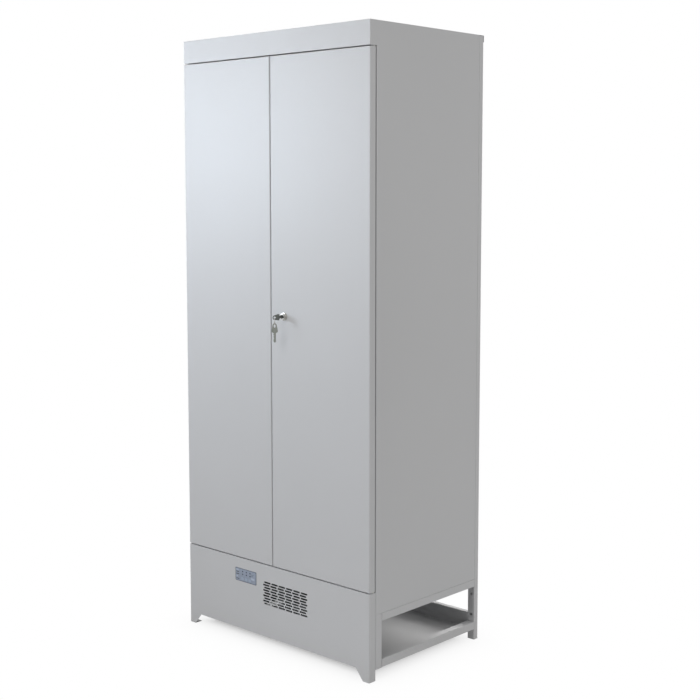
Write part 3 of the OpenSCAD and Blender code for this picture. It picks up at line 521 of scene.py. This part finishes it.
def grown(name, mesh, tree, values):
    """The plain mesh that a tree makes on a base mesh."""
    base = bpy.data.objects.new(name, mesh)
    bpy.context.scene.collection.objects.link(base)
    modifier = base.modifiers.new("nodes", "NODES")
    modifier.node_group = tree
    set_inputs(modifier, values)
    bpy.context.view_layer.update()
    ready = base.evaluated_get(bpy.context.evaluated_depsgraph_get())
    result = bpy.data.meshes.new_from_object(ready)
    result.name = name
    bpy.data.objects.remove(base)
    return result


def fastener_tree():
    """One head on every point, its axis along the point's facing."""
    tree, given, result = new_tree("fastener_rows", [
        ("Points", "NodeSocketGeometry"), ("Head", "NodeSocketObject"),
        ("Size", "NodeSocketFloat"), ("Finish", "NodeSocketMaterial")])
    new, link = tree.nodes.new, tree.links.new
    facing = new("GeometryNodeInputNamedAttribute")
    facing.data_type = "FLOAT_VECTOR"
    facing.inputs["Name"].default_value = "facing"
    turn = new("FunctionNodeAlignRotationToVector")
    link(facing.outputs["Attribute"], turn.inputs["Vector"])
    head = new("GeometryNodeObjectInfo")
    link(given["Head"], head.inputs["Object"])
    spread = new("GeometryNodeInstanceOnPoints")
    link(given["Points"], spread.inputs["Points"])
    link(head.outputs["Geometry"], spread.inputs["Instance"])
    link(turn.outputs["Rotation"], spread.inputs["Rotation"])
    link(given["Size"], spread.inputs["Scale"])
    real = new("GeometryNodeRealizeInstances")
    link(spread.outputs["Instances"], real.inputs["Geometry"])
    paint = new("GeometryNodeSetMaterial")
    link(real.outputs["Geometry"], paint.inputs["Geometry"])
    link(given["Finish"], paint.inputs["Material"])
    link(paint.outputs["Geometry"], result)
    return tree


def fasteners(name, places, head, material, body, size=1.0):
    """Screws or rivets at (x, y, z, facing) places, in millimetres."""
    mesh = bpy.data.meshes.new(name)
    mesh.from_pydata([(x * MM, y * MM, z * MM) for x, y, z, _ in places], [], [])
    facing = mesh.attributes.new("facing", "FLOAT_VECTOR", "POINT")
    for row, place in zip(facing.data, places):
        row.vector = place[3]
    result = grown(name, mesh, FASTENER_TREE, {"Head": head, "Size": size, "Finish": material})
    place_piece(name, result, material, body)


def seal_tree():
    """Oval bead laid round a rectangle with rounded corners, in the X-Z plane."""
    tree, given, result = new_tree("door_seal", [
        ("Points", "NodeSocketGeometry"), ("Width", "NodeSocketFloat"), ("Height", "NodeSocketFloat"),
        ("Corner", "NodeSocketFloat"), ("Bead Width", "NodeSocketFloat"),
        ("Bead Height", "NodeSocketFloat"), ("Centre", "NodeSocketVector"),
        ("Finish", "NodeSocketMaterial")])
    new, link = tree.nodes.new, tree.links.new
    path = new("GeometryNodeCurvePrimitiveQuadrilateral")
    link(given["Width"], path.inputs["Width"])
    link(given["Height"], path.inputs["Height"])
    corner = new("GeometryNodeFilletCurve")
    corner.mode = "POLY"
    corner.inputs["Count"].default_value = 6
    link(path.outputs["Curve"], corner.inputs["Curve"])
    link(given["Corner"], corner.inputs["Radius"])
    bead = new("GeometryNodeCurvePrimitiveCircle")
    bead.inputs["Resolution"].default_value = 16
    bead.inputs["Radius"].default_value = 1.0
    size = new("ShaderNodeCombineXYZ")
    link(given["Bead Width"], size.inputs["X"])
    link(given["Bead Height"], size.inputs["Y"])
    size.inputs["Z"].default_value = 1.0
    flat = new("GeometryNodeTransform")
    link(bead.outputs["Curve"], flat.inputs["Geometry"])
    link(size.outputs["Vector"], flat.inputs["Scale"])
    sweep = new("GeometryNodeCurveToMesh")
    link(corner.outputs["Curve"], sweep.inputs["Curve"])
    link(flat.outputs["Geometry"], sweep.inputs["Profile Curve"])
    upright = new("GeometryNodeTransform")
    upright.inputs["Rotation"].default_value = (math.pi / 2, 0, 0)
    link(sweep.outputs["Mesh"], upright.inputs["Geometry"])
    link(given["Centre"], upright.inputs["Translation"])
    smooth = new("GeometryNodeSetShadeSmooth")
    link(upright.outputs["Geometry"], smooth.inputs["Geometry"])
    real = new("GeometryNodeRealizeInstances")
    link(smooth.outputs["Geometry"], real.inputs["Geometry"])
    paint = new("GeometryNodeSetMaterial")
    link(real.outputs["Geometry"], paint.inputs["Geometry"])
    link(given["Finish"], paint.inputs["Material"])
    link(paint.outputs["Geometry"], result)
    return tree


# ---- Door seals

SEAL_IN = 4.5 * MM
SEAL_HALF_WIDTH = 2.6 * MM
SEAL_RISE = 1.6 * MM
SEAL_CORNER = 5 * MM


def door_seal(door):
    low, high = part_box(door)
    middle = (low + high) / 2
    mesh = grown(door + "_seal", bpy.data.meshes.new(door + "_seal"), seal_tree(), {
        "Width": high.x - low.x - 2 * SEAL_IN, "Height": high.z - low.z - 2 * SEAL_IN,
        "Corner": SEAL_CORNER,
        "Bead Width": SEAL_HALF_WIDTH, "Bead Height": SEAL_RISE,
        "Centre": (middle.x, high.y, middle.z), "Finish": SEAL_RUBBER})
    place_piece(door + "_seal", mesh, SEAL_RUBBER, BODY_OF[door])


# ---- Rivets and screws

REAR, FRONT, UP = (0, 1, 0), (0, -1, 0), (0, 0, 1)
LEFT, RIGHT = (-1, 0, 0), (1, 0, 0)


def evenly(low, high, count):
    return [low + (high - low) * k / (count - 1) for k in range(count)]


def box_mm(node):
    low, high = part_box(node)
    return [v / MM for v in low], [v / MM for v in high]


# Outlines of the heads, as radius and height in millimetres
RIVET_OUTLINE = (
    (0, -0.2), (3.4, -0.2), (3.4, 0.15), (2.9, 0.65), (1.9, 1.02), (1.3, 1.15), (1.2, 0.35), (0, 0.35))
SCREW_OUTLINE = (
    (0, -0.2), (3.9, -0.2), (3.9, 0.5), (3.5, 1.2), (2.6, 1.8), (1.5, 2.05), (1.35, 1.0), (0, 0.9))
# Sheets that heads sit on, numbers of heads in a row, and distances from the edges of what they
# hold, in millimetres
FLANGE_SHEET = 1.2
LINER_SHEET = 1.0
BACK_RIVETS = 12
BACK_RIVET_IN = 17
BACK_RIVET_LOWEST = 112
BACK_RIVET_HIGHEST = 26
BACK_RIVET_SIZE = 1.25
DOOR_RIVETS_UP = 9
DOOR_RIVETS_ACROSS = 4
DOOR_RIVET_FREE_IN = 22
DOOR_RIVET_HINGE_IN = 45
DOOR_RIVET_END_IN = 45
COLLAR_SCREWS = 6
COLLAR_SCREW_IN = 9
COLLAR_FIRST_ANGLE = 30
DIFFUSER_SCREWS = 3
DIFFUSER_SCREW_IN = 8
DIFFUSER_END_IN = 22
STRIP_SCREWS = 4
STRIP_END_IN = 95
SOCKET_PLATE = 2.5
SOCKET_SCREW_IN = 4.2


def add_back_rivets(rivet):
    """Rivets that hold the back panel to the posts' rear flanges."""
    post_high = box_mm("right_rear_post")[1]
    rail_high = box_mm("rear_lower_rail")[1]
    heights = evenly(rail_high[2] + BACK_RIVET_LOWEST, post_high[2] - BACK_RIVET_HIGHEST, BACK_RIVETS)
    places = [(side * (post_high[0] - BACK_RIVET_IN), post_high[1], z, REAR)
              for side in (-1, 1) for z in heights]
    fasteners("back_panel_rivets", places, rivet, RIVET_METAL, "cabinet", BACK_RIVET_SIZE)


def add_door_rivets(rivet, door, free):
    """Rivets round a door's liner; free is 1 where the door's free edge is its +X edge, or else -1."""
    low, high = box_mm(door)
    face = box_mm(door + "_liner")[0][1] + LINER_SHEET
    free_edge, hinge_edge = (high[0], low[0]) if free > 0 else (low[0], high[0])
    near = free_edge - free * DOOR_RIVET_FREE_IN
    far = hinge_edge + free * DOOR_RIVET_HINGE_IN
    bottom, top = low[2] + DOOR_RIVET_END_IN, high[2] - DOOR_RIVET_END_IN
    between = evenly(near, far, DOOR_RIVETS_ACROSS)[1:-1]
    places = [(x, face, z, REAR) for x in (near, far) for z in evenly(bottom, top, DOOR_RIVETS_UP)]
    places += [(x, face, z, REAR) for x in between for z in (bottom, top)]
    fasteners(door + "_rivets", places, rivet, RIVET_METAL, BODY_OF[door])


def collar_screws():
    low, high = box_mm("exhaust_collar")
    centre_x, centre_y = (low[0] + high[0]) / 2, (low[1] + high[1]) / 2
    ring = (high[0] - low[0]) / 2 - COLLAR_SCREW_IN
    turns = [math.radians(COLLAR_FIRST_ANGLE + 360 / COLLAR_SCREWS * k) for k in range(COLLAR_SCREWS)]
    return [(centre_x + ring * math.cos(a), centre_y + ring * math.sin(a), low[2] + FLANGE_SHEET, UP)
            for a in turns]


def diffuser_screws():
    low, high = box_mm("warm_air_diffuser")
    rows = evenly(low[1] + DIFFUSER_END_IN, high[1] - DIFFUSER_END_IN, DIFFUSER_SCREWS)
    return [(x, y, low[2] + FLANGE_SHEET, UP)
            for x in (low[0] + DIFFUSER_SCREW_IN, high[0] - DIFFUSER_SCREW_IN) for y in rows]


def hook_strip_screws():
    low, high = box_mm("hook_strip")
    return [(x, low[1], (low[2] + high[2]) / 2, FRONT)
            for x in evenly(low[0] + STRIP_END_IN, high[0] - STRIP_END_IN, STRIP_SCREWS)]


def rail_socket_screws():
    low, high = box_mm("rail_sockets")
    wall = high[0] - SOCKET_PLATE
    return [(side * wall, (low[1] + high[1]) / 2, z, LEFT if side > 0 else RIGHT)
            for side in (-1, 1) for z in (low[2] + SOCKET_SCREW_IN, high[2] - SOCKET_SCREW_IN)]


def add_fasteners():
    rivet = turned("rivet_head", RIVET_OUTLINE)
    screw = turned("screw_head", SCREW_OUTLINE)
    add_back_rivets(rivet)
    add_door_rivets(rivet, "left_door", 1)
    add_door_rivets(rivet, "right_door", -1)
    places = collar_screws() + diffuser_screws() + hook_strip_screws() + rail_socket_screws()
    fasteners("cabinet_screws", places, screw, FINISHES["chromed"], "cabinet")
    for head in (rivet, screw):
        bpy.data.objects.remove(head)


# ---- Print on the control panel

# Left, lower, right and upper edge of each mark, in millimetres from the film's middle
DARK_MARKS = (
    (-44, 6.6, -31, 9.6), (-44, -0.4, -31, 2.6), (-44, -15.5, -30, -13.0),
    (25, 8.4, 37, 9.4), (25, 4.0, 34, 5.0))
PALE_FIELDS = ((-44, 12.2, -33, 16.6), (-44, -8.6, -37, -4.0), (24, -8.0, 40, -1.5))
INK_RISE = 0.05
MARK_CORNER = 0.45
FIELD_CORNER = 0.9
BORDER_IN = 0.3
BORDER_WIDTH = 1.5
BORDER_CORNER = 2.4


def bar(work, x0, z0, x1, z1, radius, face_y):
    """Flat printed mark with rounded corners, standing off the film."""
    outline = []
    for cx, cz, start in ((x1 - radius, z1 - radius, 0), (x0 + radius, z1 - radius, 90),
                          (x0 + radius, z0 + radius, 180), (x1 - radius, z0 + radius, 270)):
        for k in range(5):
            a = math.radians(start + 22.5 * k)
            outline.append((cx + radius * math.cos(a), cz + radius * math.sin(a)))
    back = [work.verts.new((x * MM, face_y * MM, z * MM)) for x, z in outline]
    front = [work.verts.new((x * MM, (face_y - INK_RISE) * MM, z * MM)) for x, z in outline]
    work.faces.new(front)
    work.faces.new(back[::-1])
    for k in range(len(outline)):
        j = (k + 1) % len(outline)
        work.faces.new((front[k], back[k], back[j], front[j]))


def border_loop(work, low, high, inset, radius, y):
    """Points of a rectangle with rounded corners, inset from the film's edge."""
    x0, z0, x1, z1 = low[0] + inset, low[2] + inset, high[0] - inset, high[2] - inset
    corners = ((x1 - radius, z1 - radius, 0), (x0 + radius, z1 - radius, 90),
               (x0 + radius, z0 + radius, 180), (x1 - radius, z0 + radius, 270))
    points = []
    for cx, cz, start in corners:
        for k in range(7):
            a = math.radians(start + 15 * k)
            points.append(work.verts.new(((cx + radius * math.cos(a)) * MM, y * MM,
                                          (cz + radius * math.sin(a)) * MM)))
    return points


def printed_border(work, low, high, face_y):
    """Printed border round the film, as a closed band."""
    inner_in, inner_corner = BORDER_IN + BORDER_WIDTH, BORDER_CORNER - BORDER_WIDTH / 2
    rings = [border_loop(work, low, high, inset, radius, y) for inset, radius, y in (
        (BORDER_IN, BORDER_CORNER, face_y), (BORDER_IN, BORDER_CORNER, face_y - INK_RISE),
        (inner_in, inner_corner, face_y - INK_RISE), (inner_in, inner_corner, face_y))]
    count = len(rings[0])
    for one, two in zip(rings, rings[1:] + rings[:1]):
        for k in range(count):
            j = (k + 1) % count
            work.faces.new((one[k], one[j], two[j], two[k]))


def place_print(name, work, ink):
    bmesh.ops.recalc_face_normals(work, faces=work.faces)
    mesh = bpy.data.meshes.new(name)
    work.to_mesh(mesh)
    work.free()
    place_piece(name, mesh, ink, "cabinet")


def add_print():
    low, high = box_mm("control_panel")
    face = low[1]
    middle_x, middle_z = (low[0] + high[0]) / 2, (low[2] + high[2]) / 2

    def bars(work, marks, corner):
        for x0, z0, x1, z1 in marks:
            bar(work, middle_x + x0, middle_z + z0, middle_x + x1, middle_z + z1, corner, face)

    dark = bmesh.new()
    printed_border(dark, low, high, face)
    bars(dark, DARK_MARKS, MARK_CORNER)
    place_print("control_panel_marks", dark, PRINT_INK)
    pale = bmesh.new()
    bars(pale, PALE_FIELDS, FIELD_CORNER)
    place_print("control_panel_fields", pale, PALE_INK)


# ---- Build

# Node, width of its rounded edges in millimetres, and its own metal where it has one
SOFT_EDGES = (
    ("lock_body", 0.35, NICKEL), ("lock_core", 0.25, DARK_NICKEL), ("door_key", 0.3, KEY_STEEL),
    ("spare_key", 0.3, KEY_STEEL), ("key_ring", 0.0, NICKEL), ("lock_cam", 0.3, None),
    ("upper_bolt", 0.5, None), ("lower_bolt", 0.5, None), ("exhaust_collar", 0.3, None),
    ("hanging_rail", 0.4, None), ("rail_sockets", 0.5, None), ("coat_hooks", 0.0, None),
    ("cable_gland", 0.4, None))
# Sheet-metal node, and the width of its rounded bends in millimetres
FOLDS = (
    ("left_door", 1.2), ("right_door", 1.2), ("header_panel", 1.2), ("plinth_panel", 1.2),
    ("left_side_panel", 1.2), ("right_side_panel", 1.2),
    ("left_rear_post", 1.5), ("right_rear_post", 1.5),
    ("left_lower_rail", 2.2), ("right_lower_rail", 2.2), ("rear_lower_rail", 1.5))


def dress_nodes():
    for name, node in NODES.items():
        finish = FINISHES[SLOT_OF[name]]
        if not node.data.materials:
            node.data.materials.append(finish)
        for slot in node.material_slots:
            slot.material = finish


add_camera()
studio_world(WORLD_STRENGTH, WORLD_COLOUR)
for lamp in LAMPS:
    add_softbox(*lamp)
studio_floor()
dress_nodes()
FASTENER_TREE = fastener_tree()

for node, width, material in SOFT_EDGES:
    softened(node, width, material)
for node, radius in FOLDS:
    folded(node, radius)
for door in ("left_door", "right_door"):
    door_seal(door)
add_fasteners()
add_print()

bpy.context.scene.view_settings.view_transform = "Standard"
